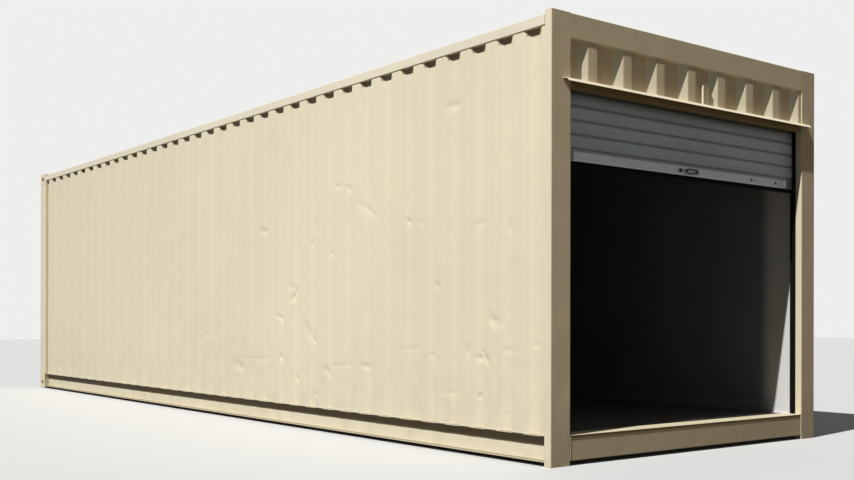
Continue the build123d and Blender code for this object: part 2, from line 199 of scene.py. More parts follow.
# Colours, linear
cream = (0.82, 0.735, 0.540)
# The end's coat, browner and darker than the sides, partly as painted shade, and the coat of what faces
# right, as painted shade
end_cream_and_shade = (0.80, 0.645, 0.42)
shaded_side_coat = (0.666, 0.504, 0.324)
rail_cream = (0.84, 0.765, 0.600)
top_dust_and_shade = (0.66, 0.57, 0.385)
underside_stain_and_shade = (0.34, 0.24, 0.105)
rust = (0.16, 0.065, 0.028)
grime_and_shadow = (0.30, 0.235, 0.150)
bracket_face_tone = (0.62, 0.51, 0.31)
zinc = (0.50, 0.50, 0.51)
bar_zinc = (0.48, 0.495, 0.545)
pale_lip_zinc = (0.75, 0.76, 0.78)
dark_plate_zinc = (0.20, 0.21, 0.19)
lit_leg_zinc = (0.93, 0.95, 0.88)
bar_shadow = (0.08, 0.08, 0.08)
bar_end_shade = (0.05, 0.06, 0.05)
curtain_grey = (0.61, 0.69, 0.76)
curtain_top_shade = (0.13, 0.11, 0.08)
black_metal = (0.020, 0.020, 0.022)
brown_metal = (0.035, 0.028, 0.022)
rubber = (0.007, 0.007, 0.007)
board_paint = (0.67, 0.665, 0.645)
interior_shade_board = (0.205, 0.215, 0.240)
# The floor's planks are nearly black: painted shade inside the container.
plank_dark = (0.006, 0.005, 0.004)
plank_light = (0.016, 0.013, 0.010)
plank_scuff = (0.024, 0.022, 0.019)
plank_joint = (0.008, 0.006, 0.005)

# Tints laid over the paint: the darker right post, which starts between two places along X, the painted
# shade on the webs that face the door, and the dark line along the top of the sill
right_post_darkening = (0.90, 0.89, 0.87)
right_post_darkening_from = (1.04, 1.07)
web_painted_shade = (0.955, 0.955, 0.970)
sill_tint = (0.46, 0.41, 0.31)

# Where the painted shadow of the long sides starts, under the top rail and in the bottom rail: the distance
# from the middle of the container and the height. Then how dark it is there, and how dense the dirt is on
# what faces up.
wall_shadow_band = (1.208, 2.478)
rail_shadow_band = (1.200, 0.122)
shadow_band_fade = 0.006
shadow_band_darkness = 0.8
ledge_dirt = 0.85

# Enamel: the two ends of its roughness, and how much rust comes through at specks and chipped edges
wall_gloss = (0.50, 0.68)
frame_gloss = (0.48, 0.64)
stained_gloss = (0.55, 0.75)
wall_wear = 0.5
frame_wear = 0.6
stained_wear = 0.3
chip_width = 0.005
paint_specular = 0.3
board_specular = 0.15

# Boards end to end, from joint to joint, and their joints
lining_step = 1.22
floor_board_step = 1.16
joint_half_width = 0.003
sunk_joint_half_width = 0.004
joint_depth = 0.002

# The lining is pale up to one place along the container, and painted darker as shade from the other on
pale_to = -4.58
shade_from = -4.44

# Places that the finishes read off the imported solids
curtain_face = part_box("door_curtain")[0].y
curtain_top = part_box("door_lintel")[0].z
bar_low, bar_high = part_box("door_bottom_bar")
stop_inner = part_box("right_door_stop")[0].x
sill_low, sill_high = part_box("front_sill")


# Shader nodes

def add(tree, kind, inputs=None, **settings):
    """Adds a node. Each input is a plain value, or a socket to link it to."""
    made = tree.nodes.new("ShaderNode" + kind)
    for key, value in settings.items():
        setattr(made, key, value)
    for key, value in (inputs or {}).items():
        if isinstance(value, bpy.types.NodeSocket):
            tree.links.new(value, made.inputs[key])
        else:
            made.inputs[key].default_value = value
    return made


def place_in(tree, stretch=(1, 1, 1)):
    """The object's own place, in metres, stretched before a texture reads it."""
    place = add(tree, "TexCoord").outputs["Object"]
    return add(tree, "Mapping", {"Vector": place, "Scale": stretch}).outputs[0]


def cloud(tree, scale, detail=3.0, stretch=(1, 1, 1), roughness=0.5):
    """Soft noise with features about 1 / scale metres wide."""
    inputs = {"Vector": place_in(tree, stretch), "Scale": scale, "Detail": detail, "Roughness": roughness}
    return add(tree, "TexNoise", inputs).outputs[0]


def span(tree, value, low, high, start=0.0, end=1.0):
    """Maps the values from low to high onto start to end, and holds the rest at those."""
    inputs = {0: value, 1: low, 2: high, 3: start, 4: end}
    return add(tree, "MapRange", inputs, interpolation_type="SMOOTHSTEP").outputs[0]


def times(tree, a, b):
    return add(tree, "Math", {0: a, 1: b}, operation="MULTIPLY").outputs[0]


def blended(tree, amount, a, b, mode="MIX"):
    """Colour a, blended towards colour b by the amount."""
    colours = [(*c, 1.0) if isinstance(c, tuple) else c for c in (a, b)]
    inputs = {0: amount, 6: colours[0], 7: colours[1]}
    return add(tree, "Mix", inputs, data_type="RGBA", blend_type=mode).outputs[2]


def shade(colour, factor):
    return tuple(min(1.0, c * factor) for c in colour)


def coordinate(tree, axis):
    """The object's own X, Y or Z, in metres."""
    place = add(tree, "TexCoord").outputs["Object"]
    return add(tree, "SeparateXYZ", {0: place}).outputs[axis]


def height_of(tree):
    """Height over the ground, in metres."""
    return coordinate(tree, 2)


def distance_out(tree):
    """Distance from the middle plane of the container, in metres."""
    return add(tree, "Math", {0: coordinate(tree, 0)}, operation="ABSOLUTE").outputs[0]


def facing(tree, axis, low, high):
    """1 where the surface faces along X, Y or Z, and 0 where it faces away."""
    normal = add(tree, "NewGeometry").outputs["Normal"]
    return span(tree, add(tree, "SeparateXYZ", {0: normal}).outputs[axis], low, high)


def edges(tree, radius):
    """1 at a sharp edge and 0 away from it."""
    turned = add(tree, "Bevel", {"Radius": radius}, samples=4).outputs[0]
    plain = add(tree, "NewGeometry").outputs["Normal"]
    same = add(tree, "VectorMath", {0: turned, 1: plain}, operation="DOT_PRODUCT").outputs["Value"]
    return span(tree, same, 0.995, 0.90)


def bumps(tree, layers):
    """A normal from (height, distance in metres) layers laid over each other."""
    normal = None
    for height, distance in layers:
        inputs = {"Height": height, "Distance": distance, "Strength": 1.0}
        if normal is not None:
            inputs["Normal"] = normal
        normal = add(tree, "Bump", inputs).outputs[0]
    return normal


def material(name, colour, roughness, normal=None, metallic=0.0, specular=0.5):
    """A material from functions that make its sockets in the new tree, or from plain values."""
    made = bpy.data.materials.new(name)
    made.use_nodes = True
    tree = made.node_tree
    shader = tree.nodes["Principled BSDF"]
    shader.inputs["Metallic"].default_value = metallic
    shader.inputs["Specular IOR Level"].default_value = specular
    for key, value in (("Base Color", colour), ("Roughness", roughness), ("Normal", normal)):
        if callable(value):
            tree.links.new(value(tree), shader.inputs[key])
        elif value is not None:
            shader.inputs[key].default_value = value
    return made


def end_coat(tree, tone, front, drift):
    """The coat on what faces out of the end with the door: browner and darker, partly as painted shade,
    darker to the right as painted shade, and darker low down.

    What faces right is painted darker and browner as shade, and the right post is darker all round.
    """
    # Painted shade: the end's coat grows darker towards the right.
    coat = blended(tree, span(tree, coordinate(tree, 0), -1.3, 1.3), front, shade(front, 0.74))
    coat = blended(tree, times(tree, drift, 0.5), coat, shade(front, 0.93))
    coat = blended(tree, span(tree, height_of(tree), 0.40, 0.10, 0.0, 0.3), coat, shade(front, 0.55))
    # What faces out of the end takes the browner coat, which is partly painted shade.
    tone = blended(tree, facing(tree, 1, -0.93, -0.985), tone, coat)
    # Painted shade: what faces right takes a darker, browner coat.
    tone = blended(tree, facing(tree, 0, 0.15, 0.3), tone, shaded_side_coat)
    on_post = span(tree, coordinate(tree, 0), *right_post_darkening_from)
    return blended(tree, on_post, tone, right_post_darkening, "MULTIPLY")


def shadow_and_web_tone(tree, tone, colour, shadow_and_dirt):
    """Painted shadow under the top rail and in the bottom rail, and painted light and shade on the two webs
    of a trough.
    """
    inside, height = shadow_and_dirt
    within = span(tree, distance_out(tree), inside, inside - shadow_band_fade)
    over = span(tree, height_of(tree), height - shadow_band_fade, height)
    # Painted shadow: darker in the troughs under the top rail, and on the bottom rail's web under the wall's
    # foot.
    dirt = times(tree, within, times(tree, over, shadow_band_darkness))
    tone = blended(tree, dirt, tone, shade(grime_and_shadow, 0.7))
    # Painted light on the webs that face away from the door, and painted shade on those that face it.
    rear_facing_webs = times(tree, facing(tree, 1, 0.12, 0.45), 0.8)
    tone = blended(tree, rear_facing_webs, tone, shade(colour, 1.15))
    return blended(tree, facing(tree, 1, -0.12, -0.45), tone, web_painted_shade, "MULTIPLY")


def paint_colour(colour, wear, front=None, underside=None, shadow_and_dirt=None):
    """Old enamel: drifting tone, rain streaks, dust low down, dust and painted shade on top, a few chips at
    the edges.

    The end with the door can have its own, browner coat, partly painted shade, and what faces down can be
    stained and painted in shade.
    In the long sides, painted shadow lies further in than a distance, over a height, with dirt on what faces
    up there.
    """
    def make(tree):
        drift = span(tree, cloud(tree, 0.5, 2.0), 0.35, 0.65)
        tone = blended(tree, drift, shade(colour, 0.965), shade(colour, 1.025))
        cool = times(tree, span(tree, cloud(tree, 0.32, 1.0, (1, 0.6, 1)), 0.50, 0.70), 0.5)
        tone = blended(tree, cool, tone, (colour[0] * 0.93, colour[1] * 0.99, colour[2]))
        # Painted shade: the paint grows darker towards the rear end.
        far = span(tree, coordinate(tree, 1), -2.5, 5.0)
        tone = blended(tree, far, tone, shade(colour, 0.89))
        if front:
            tone = end_coat(tree, tone, front, drift)
        # Stain and painted shade on what faces down.
        if underside:
            tone = blended(tree, facing(tree, 2, -0.2, -0.6), tone, underside)
        streaks = span(tree, cloud(tree, 1.0, 3.0, (14, 14, 0.35)), 0.40, 0.75)
        tone = blended(tree, times(tree, streaks, 0.08), tone, shade(colour, 0.72))
        patches = span(tree, cloud(tree, 6.0, 4.0), 0.50, 0.75)
        tone = blended(tree, times(tree, patches, 0.10), tone, shade(colour, 0.80))
        if shadow_and_dirt:
            tone = shadow_and_web_tone(tree, tone, colour, shadow_and_dirt)
        low = span(tree, height_of(tree), 0.95, 0.1)
        dust = times(tree, low, span(tree, cloud(tree, 7.0, 5.0, roughness=0.65), 0.40, 0.80))
        tone = blended(tree, times(tree, dust, 0.20), tone, grime_and_shadow)
        # Dust and painted shade on what faces up, where the key light strikes hardest.
        dust_and_shade_patches = span(tree, cloud(tree, 3.0, 4.0), 0.20, 0.60, 0.6, 0.95)
        tone = blended(tree, times(tree, facing(tree, 2, 0.80, 0.97), dust_and_shade_patches), tone, top_dust_and_shade)
        if shadow_and_dirt:
            ledges = times(tree, facing(tree, 2, 0.6, 0.9), ledge_dirt)
            tone = blended(tree, ledges, tone, shade(grime_and_shadow, 0.7))
        specks = span(tree, cloud(tree, 55.0, 3.0, roughness=0.6), 0.79, 0.82)
        tone = blended(tree, times(tree, specks, 0.45 * wear), tone, rust)
        chips = times(tree, edges(tree, chip_width), span(tree, cloud(tree, 30.0, 5.0), 0.62, 0.70))
        return blended(tree, times(tree, chips, 0.8 * wear), tone, rust)
    return make


def paint_roughness(gloss):
    def make(tree):
        return span(tree, cloud(tree, 6.0, 5.0), 0.3, 0.7, *gloss)
    return make


def paint_normal(tree):
    """Brushed-on paint over mill sheet: a fine orange peel and slow waves."""
    peel = cloud(tree, 220.0, 2.0)
    waves = cloud(tree, 5.0, 3.0, (1, 1, 0.6))
    return bumps(tree, [(waves, 0.004), (peel, 0.00035)])


def enamel(name, colour, gloss):
    """Painted steel from a function for its colour and the two ends of its roughness."""
    return material(name, colour, paint_roughness(gloss), paint_normal, specular=paint_specular)


def painted(name, colour, gloss, wear, front=None, underside=None, shadow_and_dirt=None):
    return enamel(name, paint_colour(colour, wear, front, underside, shadow_and_dirt), gloss)


def sill_colour(tree):
    """The end's enamel, with a dark line along the top of the sill, under the edge of the threshold."""
    coat = paint_colour(cream, frame_wear, end_cream_and_shade)(tree)
    line = span(tree, height_of(tree), sill_high.z - 0.035, sill_high.z - 0.023)
    return blended(tree, line, coat, sill_tint, "MULTIPLY")


def zinc_colour(tone):
    """Dull zinc: mottled, with smudges and drip marks."""
    def make(tree):
        spangle = add(tree, "TexVoronoi", {"Vector": place_in(tree), "Scale": 90.0}).outputs["Distance"]
        base = blended(tree, span(tree, spangle, 0.1, 0.7), shade(tone, 0.96), shade(tone, 1.04))
        smudge = span(tree, cloud(tree, 5.0, 4.0, (1, 1, 3)), 0.48, 0.75)
        base = blended(tree, times(tree, smudge, 0.25), base, shade(tone, 0.65))
        drips = span(tree, cloud(tree, 1.0, 4.0, (40, 1, 4)), 0.60, 0.75)
        return blended(tree, times(tree, drips, 0.15), base, shade(tone, 1.25))
    return make


def joints_along(tree, step, half_width):
    """1 in the joints of boards laid end to end along Y, one step long each, and 0 on them."""
    along = coordinate(tree, 1)
    from_joint = add(tree, "Math", {0: along, 1: step / 2}, operation="PINGPONG").outputs[0]
    return span(tree, from_joint, half_width, half_width * 0.4)


def sunk_joints(tree, step):
    """A layer for bumps, with the joints of boards sunk in."""
    joint = joints_along(tree, step, sunk_joint_half_width)
    return span(tree, joint, 0.0, 1.0, 1.0, 0.0), joint_depth


def board_colour(tone, deep, step):
    """Painted board in sheets: pale by the door, painted darker as shade further in, with faint joints and
    scuffs.
    """
    def make(tree):
        drift = span(tree, cloud(tree, 1.6, 4.0), 0.35, 0.70)
        # Painted shade: the boards grow darker further into the container.
        by_door = span(tree, coordinate(tree, 1), shade_from, pale_to)
        here = blended(tree, by_door, deep, tone)
        base = blended(tree, times(tree, drift, 0.05), here, (1.0, 1.0, 1.0))
        scuffs = span(tree, cloud(tree, 1.0, 6.0, (5, 1.2, 30)), 0.62, 0.78)
        base = blended(tree, times(tree, scuffs, 0.15), base, shade(deep, 0.5))
        low = span(tree, height_of(tree), 0.45, 0.17)
        base = blended(tree, times(tree, low, 0.08), base, grime_and_shadow)
        joints = times(tree, joints_along(tree, step, joint_half_width), 0.5)
        return blended(tree, joints, base, shade(deep, 0.3))
    return make


def board_normal(step):
    """Rolled-on paint, with the joints sunk in."""
    def make(tree):
        joint = sunk_joints(tree, step)
        return bumps(tree, [(cloud(tree, 90.0, 3.0), 0.0005), joint])
    return make


def plank_colour(tree):
    """Oiled plywood, painted almost black as shade: grain along the container, board joints, dark scuffs and
    pale wear.
    """
    grain = cloud(tree, 1.0, 6.0, (26, 1.1, 26), 0.6)
    base = blended(tree, span(tree, grain, 0.3, 0.7), plank_dark, plank_light)
    scuffs = span(tree, cloud(tree, 3.0, 5.0, (3, 1, 1)), 0.50, 0.75)
    base = blended(tree, times(tree, scuffs, 0.4), base, plank_scuff)
    return blended(tree, joints_along(tree, floor_board_step, joint_half_width), base, plank_joint)


def plank_normal(tree):
    joint = sunk_joints(tree, floor_board_step)
    return bumps(tree, [(cloud(tree, 1.0, 6.0, (60, 2.2, 60)), 0.0012), joint])


def fine_normal(scale, distance):
    def make(tree):
        return bumps(tree, [(cloud(tree, scale, 3.0), distance)])
    return make


def mottled(tone, scale, contrast):
    """One colour with soft light and dark patches."""
    def make(tree):
        patches = span(tree, cloud(tree, scale, 5.0), 0.3, 0.7)
        return blended(tree, patches, shade(tone, 1 - contrast), shade(tone, 1 + contrast))
    return make


def curtain_colour(tree):
    """Coated shutter sheet: even grey, with painted shade in the grooves and under the lintel."""
    tone = curtain_grey
    drift = span(tree, cloud(tree, 3.0, 4.0, (0.5, 1, 4)), 0.3, 0.7)
    base = blended(tree, drift, shade(tone, 0.92), shade(tone, 1.06))
    scrapes = span(tree, cloud(tree, 1.0, 6.0, (1.5, 10, 90)), 0.60, 0.75)
    base = blended(tree, times(tree, scrapes, 0.30), base, shade(tone, 1.3))
    # Painted shade in the grooves.
    groove = span(tree, coordinate(tree, 1), curtain_face + 0.003, curtain_face + 0.007)
    base = blended(tree, times(tree, groove, 0.65), base, shade(tone, 0.25))
    # Painted shade at the top, under the ledge and lintel.
    shade_under_lintel = span(tree, height_of(tree), curtain_top - 0.11, curtain_top)
    return blended(tree, times(tree, shade_under_lintel, 0.75), base, curtain_top_shade)


def bar_colour(tree):
    """Zinc of the bottom bar: a paler lip below, a painted shadow line above, and painted shade beyond the
    right stop.
    """
    base = zinc_colour(bar_zinc)(tree)
    lip = span(tree, height_of(tree), bar_low.z + 0.012, bar_low.z + 0.003)
    base = blended(tree, times(tree, lip, 0.7), base, pale_lip_zinc)
    # Painted shadow under the curtain's lowest groove.
    top = span(tree, height_of(tree), bar_high.z - 0.006, bar_high.z - 0.001)
    base = blended(tree, times(tree, top, 0.8), base, bar_shadow)
    # Painted shade beyond the right stop, by the post.
    end = span(tree, coordinate(tree, 0), stop_inner + 0.02, stop_inner + 0.06)
    return blended(tree, times(tree, end, 0.85), base, bar_end_shade)


def stop_colour(tree):
    """Zinc angle whose projecting leg is painted bright as lit, and whose plate is dark."""
    # Painted light on the leg's side that faces left.
    leg = facing(tree, 0, -0.5, -0.9)
    return blended(tree, leg, zinc_colour(dark_plate_zinc)(tree), lit_leg_zinc)


def lining(name, deep, roughness, normal):
    colour = board_colour(board_paint, deep, lining_step)
    return material(name, colour, roughness, normal, specular=board_specular)


finishes = {
    "body_paint": painted("cream_enamel", cream, wall_gloss, wall_wear),
    "curtain_paint": material("grey_coating", curtain_colour, 0.42, fine_normal(160.0, 0.0003)),
    "galvanised": material("zinc", zinc_colour(zinc), 0.45, fine_normal(60.0, 0.0004), 0.5),
    "dark_metal": material("black_metal", mottled(black_metal, 40.0, 0.4), 0.42, fine_normal(200.0, 0.0003)),
    "guide_metal": material("brown_coating", mottled(brown_metal, 12.0, 0.25), 0.5,
                            fine_normal(120.0, 0.0003)),
    "floor_board": material("oiled_plywood", plank_colour, 0.62, plank_normal),
    "lining_board": lining("painted_board", interior_shade_board, 0.8, board_normal(lining_step)),
    "kick_metal": lining("painted_strip", shade(interior_shade_board, 1.25), 0.7, fine_normal(80.0, 0.0003)),
    "seal_rubber": material("black_rubber", mottled(rubber, 30.0, 0.3), 0.9, fine_normal(100.0, 0.0005),
                            specular=0.1),
}
wall_finish = painted("cream_wall_enamel", shade(cream, 1.02), wall_gloss, wall_wear, shadow_and_dirt=wall_shadow_band)
frame_finish = painted("cream_frame_enamel", cream, frame_gloss, frame_wear, end_cream_and_shade)
sill_finish = enamel("cream_sill_enamel", sill_colour, frame_gloss)
# The weld along the wall's foot is painted darker, as shade, where it faces the key light.
weld_shade_finish = painted("cream_weld_enamel", shade(cream, 0.62), (0.60, 0.75), frame_wear)
rail_finish = painted("cream_rail_enamel", rail_cream, wall_gloss, wall_wear)
channel_finish = painted("cream_channel_enamel", cream, wall_gloss, frame_wear, shadow_and_dirt=rail_shadow_band)
ledge_finish = painted("cream_ledge_enamel", cream, wall_gloss, stained_wear, end_cream_and_shade, underside_stain_and_shade)
# The bracket's face is darker than the end's coat.
bracket_finish = painted("dark_faced_frame_enamel", cream, stained_gloss, stained_wear, bracket_face_tone)
# The lintel under the ledge: stained brown, and painted in shade.
lintel_finish = painted("stained_and_shaded_enamel", underside_stain_and_shade, stained_gloss, stained_wear)
bar_finish = material("bar_zinc", bar_colour, 0.5, fine_normal(60.0, 0.0004), 0.3)
stop_finish = material("stop_zinc", stop_colour, 0.35, fine_normal(60.0, 0.0002), 0.7)
slot_of = {row["node"]: row["material_slot"] for row in frame["record"]["subparts"]}

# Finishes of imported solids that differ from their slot's own
special_finish = {"rain_ledge": ledge_finish, "door_lintel": lintel_finish, "door_bottom_bar": bar_finish}
for name in ("front_left_post", "front_right_post", "threshold_plate"):
    special_finish[name] = frame_finish
for side in ("left", "right"):
    special_finish[side + "_top_rail"] = rail_finish
    special_finish[side + "_bottom_rail"] = channel_finish
    special_finish[side + "_door_stop"] = stop_finish


# Meshes

def mesh_piece(name, mesh, slot, finish=None):
    """A new piece of the container, with a finish of its own or that of its material slot."""
    made = bpy.data.objects.new(name, mesh)
    bpy.context.scene.collection.objects.link(made)
    mesh.materials.append(finish or finishes[slot])
    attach(made, "root")
    return made


def shaded_mesh(name, skin, fold):
    """A smooth mesh, with sharp edges where it folds by more than an angle in degrees."""
    mesh = bpy.data.meshes.new(name)
    bmesh.ops.recalc_face_normals(skin, faces=skin.faces)
    skin.to_mesh(mesh)
    skin.free()
    for polygon in mesh.polygons:
        polygon.use_smooth = True
    mesh.set_sharp_from_angle(angle=math.radians(fold))
    return mesh


def grid_mesh(name, front_rows, back_rows):
    """A closed sheet: a fine front surface, and a back made of its lowest and highest row only."""
    shell = bmesh.new()
    front = [[shell.verts.new(point) for point in row] for row in front_rows]
    back = [[shell.verts.new(point) for point in row] for row in back_rows]
    columns = len(front[0])
    for low, high in zip(front, front[1:]):
        for i in range(columns - 1):
            shell.faces.new((low[i], low[i + 1], high[i + 1], high[i]))
    for i in range(columns - 1):
        shell.faces.new((back[0][i + 1], back[0][i], back[1][i], back[1][i + 1]))
        shell.faces.new((front[0][i + 1], front[0][i], back[0][i], back[0][i + 1]))
        shell.faces.new((front[-1][i], front[-1][i + 1], back[1][i + 1], back[1][i]))
    for i in (0, -1):
        ring = [row[i] for row in front] + [back[1][i], back[0][i]]
        shell.faces.new(ring if i else ring[::-1])
    return shaded_mesh(name, shell, 40)


def pressed_line(press, start, end):
    """The line of a pressed sheet from start to end: (along, pressed depth), crests at 0."""
    line = []
    lowest = math.floor((start - press["first"]) / press["pitch"]) - 1
    for number in range(lowest, math.ceil((end - press["first"]) / press["pitch"]) + 1):
        mouth = press["first"] + number * press["pitch"]
        far = mouth + press["trough"]
        line += [(mouth, 0.0), (mouth + press["run"], press["depth"])]
        line += [(far - press["run"], press["depth"]), (far, 0.0)]
    return cut(line, start, end)


def cut(line, start, end):
    """The part of a line between two places along it."""
    def depth_at(along):
        for (a, va), (b, vb) in zip(line, line[1:]):
            if a <= along <= b:
                return va + (vb - va) * (along - a) / (b - a)
    inner = [point for point in line if start < point[0] < end]
    return [(start, depth_at(start))] + inner + [(end, depth_at(end))]


def rounded(line, radius, steps=3):
    """The line with an arc at each fold."""
    result = [line[0]]
    for before, here, after in zip(line, line[1:], line[2:]):
        into = Vector(here) - Vector(before)
        out = Vector(after) - Vector(here)
        turn = into.angle(out)
        back = min(radius * math.tan(turn / 2), into.length / 2.2, out.length / 2.2)
        first = Vector(here) - into.normalized() * back
        last = Vector(here) + out.normalized() * back
        for number in range(steps + 1):
            t = number / steps
            point = first * (1 - t) ** 2 + Vector(here) * 2 * t * (1 - t) + last * t ** 2
            result.append(tuple(point))
    return result + [line[-1]]


def divided(line, step):
    """The line with extra points, so that none are further apart than a step."""
    result = [line[0]]
    for before, here in zip(line, line[1:]):
        count = max(1, math.ceil((Vector(here) - Vector(before)).length / step))
        for number in range(1, count + 1):
            t = number / count
            result.append(tuple(a + (b - a) * t for a, b in zip(before, here)))
    return result


def levels(low, high, step):
    """Evenly spaced places from low to high, about one step apart."""
    count = max(1, round((high - low) / step))
    return [low + (high - low) * number / count for number in range(count + 1)]


def dent_depth(along, level, dents):
    """How far the dents press the sheet in at one place."""
    depth = 0.0
    for (y0, z0), (y1, z1), half_width, deepest in dents:
        line = Vector((y1 - y0, z1 - z0))
        reach = max(line.length, 1e-6)
        offset = Vector((along - y0, level - z0))
        t = min(1.0, max(0.0, offset.dot(line) / reach ** 2))
        distance = (offset - line * t).length / half_width
        distance *= 1 + dent_roughness * noise.noise(Vector((along * 28, level * 28, y0)))
        if distance < 1:
            fade = 1 - (2 * t - 1) ** 4 * 0.6
            depth += deepest * fade * (1 - distance ** 1.5) ** 1.6
    return depth


def waves(along, level, amount):
    """Slow buckles of a thin welded sheet."""
    return amount * noise.noise(Vector((along * 1.9, level * 1.3, 7.3)))


def pressed_sheet(name, line, rows, place, slot, dents=(), buckle=0.0, thickness=sheet, finish=None):
    """A pressed sheet with its dents. place(along, depth, level) gives a point of it."""
    def row(level, extra, shaped):
        points = []
        for along, depth in line:
            if shaped:
                edge = min(1.0, (level - rows[0]) / calm_edge, (rows[-1] - level) / calm_edge)
                near = [dent for dent in dents if abs(dent[0][0] - along) < dent_reach]
                depth += deepest_dent * math.tanh(dent_depth(along, level, near) / deepest_dent)
                depth += edge * (waves(along, level, buckle) + buckle / 2)
            points.append(place(along, depth + extra, level))
        return points
    front = [row(level, 0.0, True) for level in rows]
    back = [row(level, thickness, False) for level in (rows[0], rows[-1])]
    return mesh_piece(name, grid_mesh(name, front, back), slot, finish)


# Long walls

front_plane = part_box("front_left_post")[0].y


def wall_line(side, sign):
    """A long wall's folds from the front, the plane of its crests, its foot and its top."""
    low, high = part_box(side + "_wall")
    line = pressed_line(side_press, low.y - front_plane, high.y - front_plane)
    return line, high.x if sign > 0 else low.x, low.z, high.z


def long_wall(side, sign, dents, step, buckle):
    """One long wall as welded panels, which take the place of its plain solid."""
    line, face, foot, top = wall_line(side, sign)
    line = divided(rounded(line, side_fold_radius), fine_step)
    rows = levels(foot, top, step)
    pitch = side_press["pitch"]
    seam = side_press["first"] + side_press["trough"] / 2 + (troughs_per_panel - 1) * pitch
    thickness = dented_thickness if dents else sheet

    def place(along, depth, level):
        return Vector((face - sign * depth, front_plane + along, level))

    number = 0
    while line:
        number += 1
        beyond = [i for i, point in enumerate(line) if point[0] >= seam - 1e-6]
        last = beyond[0] if beyond and line[-1][0] - seam > pitch else len(line) - 1
        part = line[: last + 1]
        line = line[last:] if last < len(line) - 1 else []
        seam += troughs_per_panel * pitch
        start, end = (part[i][0] + front_plane for i in (0, -1))
        here = [((y0 - front_plane, z0), (y1 - front_plane, z1), w, d)
                for (y0, z0), (y1, z1), w, d in dents
                if start - panel_margin < (y0 + y1) / 2 < end + panel_margin]
        piece = pressed_sheet(f"{side}_wall_panel_{number}", part, rows, place, "body_paint",
                              here, buckle, thickness, wall_finish)
        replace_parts(piece, side + "_wall")


def cut_back_battens():
    """The left lining, with the battens that stand behind dents cut back to clear the sheet."""
    mesh = nodes["left_lining"].data.copy()
    mesh.name = "left_lining_boards"
    mesh.materials.clear()
    outer = min(vertex.co.x for vertex in mesh.vertices)
    for vertex in mesh.vertices:
        near = any(min(y0, y1) - batten_margin < vertex.co.y < max(y0, y1) + batten_margin
                   for (y0, _), (y1, _), _, _ in left_dents)
        if vertex.co.x < outer + 0.001 and near:
            vertex.co.x = outer + dented_thickness - sheet
    piece = mesh_piece(mesh.name, mesh, slot_of["left_lining"])
    soften(piece, soft_edge)
    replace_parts(piece, "left_lining")


long_wall("left", -1, left_dents, fine_step, wall_buckle)
long_wall("right", 1, [], plain_step, 0.0)


# End sheets

def end_sheet(node, press, place, finish=None):
    """The pressed sheet of an end, with its folds rounded, in place of its plain solid."""
    low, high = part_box(node)
    start, end = sorted((place(low.x), place(high.x)))
    line = divided(rounded(pressed_line(press, start, end), end_fold_radius, 5), end_step_across)
    inward = 1 if node == "header_panel" else -1
    face = low.y if inward > 0 else high.y

    def point(along, depth, level):
        return Vector((along - place(0.0), face + inward * depth, level))

    rows = levels(low.z, high.z, end_step_up)
    piece = pressed_sheet(node + "_sheet", line, rows, point, "body_paint", finish=finish)
    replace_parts(piece, node)


left_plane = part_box("front_left_post")[0].x
rear_press = dict(end_press, first=(end_press["pitch"] - end_press["trough"]) / 2)
end_sheet("header_panel", end_press, lambda x: x - left_plane, frame_finish)
end_sheet("rear_wall", rear_press, lambda x: x)


# Box sections of the ends, with their rolled corners

def ring_piece(name, rings, slot, finish=None, closed_ends=True):
    """A piece with a skin through rings. Its ends are capped, or the last ring joins the first."""
    skin = bmesh.new()
    made = [[skin.verts.new(point) for point in ring] for ring in rings]
    pairs = list(zip(made, made[1:])) if closed_ends else list(zip(made, made[1:] + made[:1]))
    count = len(made[0])
    for a, b in pairs:
        for i in range(count):
            skin.faces.new((a[i], a[(i + 1) % count], b[(i + 1) % count], b[i]))
    if closed_ends:
        skin.faces.new(made[0][::-1])
        skin.faces.new(made[-1])
    return mesh_piece(name, shaded_mesh(name, skin, 35), slot, finish)


def rounded_rectangle(low, high, radius, steps=4):
    """Points round a rectangle with round corners."""
    corners = ((high[0], high[1], 0), (low[0], high[1], 90), (low[0], low[1], 180), (high[0], low[1], 270))
    points = []
    for x, y, start in corners:
        middle = (x - math.copysign(radius, x - (low[0] + high[0]) / 2),
                  y - math.copysign(radius, y - (low[1] + high[1]) / 2))
        for number in range(steps + 1):
            angle = math.radians(start + 90 * number / steps)
            points.append((middle[0] + radius * math.cos(angle), middle[1] + radius * math.sin(angle)))
    return points


def flat_faced(piece):
    """Keeps the shading of large flat faces flat beside their rounded corners."""
    normals = piece.modifiers.new("normals", "WEIGHTED_NORMAL")
    normals.keep_sharp = True
    normals.weight = 100


def box_section(name, node, radius, finish=None):
    """A rolled box section along X, open at its ends, in place of its plain solid."""
    low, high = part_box(node)
    wall = section_wall
    outer = rounded_rectangle((low.y, low.z), (high.y, high.z), radius)
    inner = rounded_rectangle((low.y + wall, low.z + wall), (high.y - wall, high.z - wall), radius - wall)
    rings = [[(x, y, z) for y, z in line] for line, x in
             ((outer, low.x), (outer, high.x), (inner, high.x), (inner, low.x))]
    piece = ring_piece(name, rings, "body_paint", finish, closed_ends=False)
    flat_faced(piece)
    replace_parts(piece, node)


box_section("front_header_section", "front_header", front_header_corner, frame_finish)
box_section("front_sill_section", "front_sill", sill_corner, sill_finish)
box_section("rear_header_section", "rear_header", rear_header_corner)
box_section("rear_sill_section", "rear_sill", sill_corner)


# Ground welds that fill the rolled corners of the posts beside the header

